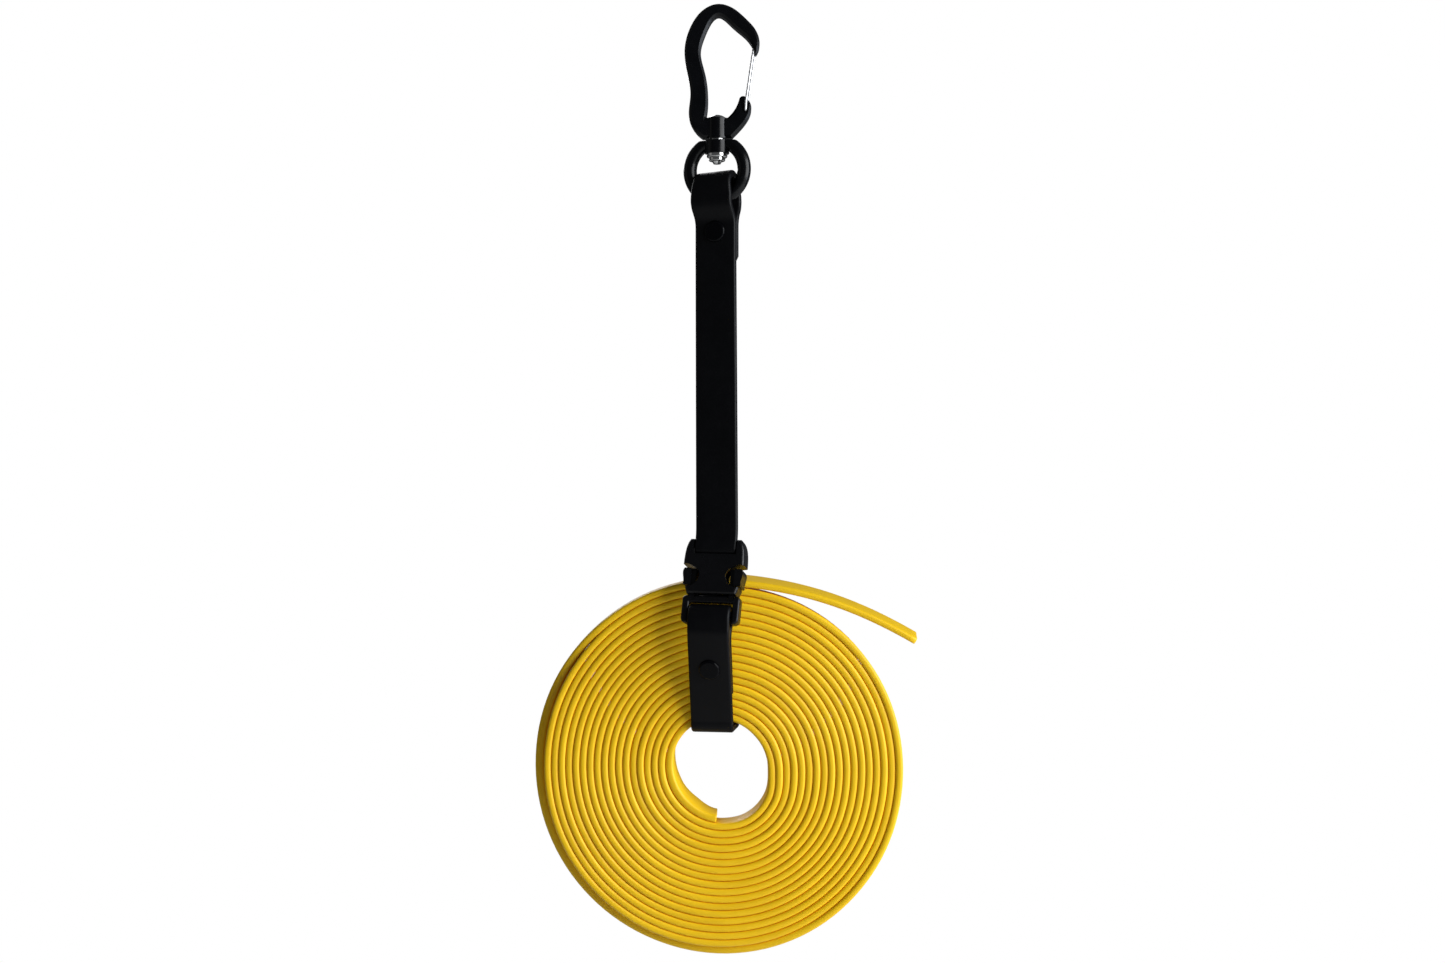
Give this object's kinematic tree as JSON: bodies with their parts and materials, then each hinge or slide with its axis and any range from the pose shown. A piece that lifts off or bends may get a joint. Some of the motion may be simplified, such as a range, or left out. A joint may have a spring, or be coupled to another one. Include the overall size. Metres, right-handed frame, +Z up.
{
  "type": "hanger strap with rolled line",
  "caption": "Swivel carabiner on a ring with a riveted coated strap, whose side-release buckle closes a loop round a roll of flat coated line.",
  "frame": {"origin": "inside of the hook's crown, in the middle of its depth, where the part hangs", "axes": "+Z up along the hanging strap, +X towards the hook's gate, -Y towards the front of the strap and the roll's face"},
  "size_m": [0.1435, 0.0347, 0.3563],
  "materials": {
    "anodised": "black satin anodised",
    "steel": "bright stainless steel",
    "strap": "smooth coated webbing, matt black",
    "rivet_black": "black lacquered steel",
    "buckle_plastic": "moulded black plastic",
    "line": "coated webbing with a fine cross rib, golden yellow"
  },
  "bodies": {
    "hook": {"carabiner_body": "anodised", "swivel_rivet": "steel", "thrust_washer": "steel", "large_washer": "steel", "small_washer": "steel"},
    "gate": {"wire_gate": "steel"},
    "ring": {"swivel_ring": "anodised"},
    "hanger": {"hanger_strap": "strap", "upper_rivet": "rivet_black", "upper_rivet_cap": "rivet_black", "buckle_socket": "buckle_plastic", "loop_back_run": "strap"},
    "plug": {"buckle_plug": "buckle_plastic", "loop_front_run": "strap", "lower_rivet": "rivet_black", "lower_rivet_cap": "rivet_black"},
    "left_arm": {"left_release_arm": "buckle_plastic"},
    "right_arm": {"right_release_arm": "buckle_plastic"},
    "roll": {"line_roll": "line", "line_tail": "line"}
  },
  "joints": [
    {"name": "gate_hinge", "type": "hinge", "parent": "hook", "child": "gate", "pos_m": [0.0107, 0, -0.0354], "axis": [0, -1, 0], "range_deg": [0, 26], "stiffness_Nm_per_rad": 0.003},
    {"name": "swivel_turn", "type": "hinge", "parent": "hook", "child": "ring", "pos_m": [0, 0, -0.0575], "axis": [0, 0, 1], "continuous": true},
    {"name": "strap_swing", "type": "hinge", "parent": "ring", "child": "hanger", "pos_m": [0, 0, -0.0644], "axis": [0.9455, -0.3256, 0], "range_deg": [-12, 12]},
    {"name": "plug_slide", "type": "slide", "parent": "hanger", "child": "plug", "axis": [-0.0968, -0.2939, -0.9509], "range_m": [0, 0.013], "deforming": ["left_release_arm", "right_release_arm"]},
    {"name": "left_arm_press", "type": "hinge", "parent": "plug", "child": "left_arm", "pos_m": [-0.00895, -0.01119, -0.21827], "axis": [0.2462, 0.9186, -0.309], "range_deg": [0, 9], "stiffness_Nm_per_rad": 0.001},
    {"name": "right_arm_press", "type": "hinge", "parent": "plug", "child": "right_arm", "pos_m": [0.00561, -0.01518, -0.21853], "axis": [-0.2462, -0.9186, 0.309], "range_deg": [0, 9], "stiffness_Nm_per_rad": 0.001},
    {"name": "roll_turn", "type": "hinge", "parent": "hanger", "child": "roll", "pos_m": [0.001, 0.0041, -0.2824], "axis": [0, 1, 0], "range_deg": [0, 40]}
  ]
}
